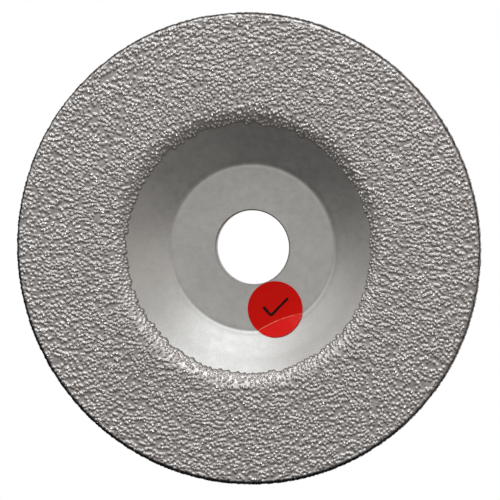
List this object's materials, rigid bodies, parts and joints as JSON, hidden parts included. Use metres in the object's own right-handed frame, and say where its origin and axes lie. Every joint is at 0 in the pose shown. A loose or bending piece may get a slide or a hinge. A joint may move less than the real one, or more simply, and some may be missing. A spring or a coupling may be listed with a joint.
{
  "type": "diamond grinding wheel",
  "caption": "Dished steel grinding wheel with a sunken hub, a plain centre bore, and diamond grit brazed over its flat working ring, shoulder and rim.",
  "frame": {"origin": "middle of the centre bore, in the plane of the hub's back seat, which is the lowest face of the wheel as it lies with its grit up", "axes": "+Z along the spindle axis, from the machine side to the grinding face; +X and +Y lie in the plane of the wheel, with the grade label 69 degrees clockwise from +X seen from the grinding side"},
  "size_m": [0.1016, 0.1016, 0.0083],
  "materials": {
    "silver_steel": "satin",
    "nickel_braze": "satin",
    "diamond_grit": "gloss",
    "red_film": "satin",
    "pen_ink": "matte"
  },
  "bodies": {
    "root": {"core_disc": "silver_steel", "braze_layer": "nickel_braze", "diamond_grit_shoulder": "diamond_grit", "diamond_grit_face": "diamond_grit", "diamond_grit_rim": "diamond_grit", "grade_label": "red_film", "label_mark": "pen_ink"}
  },
  "joints": []
}
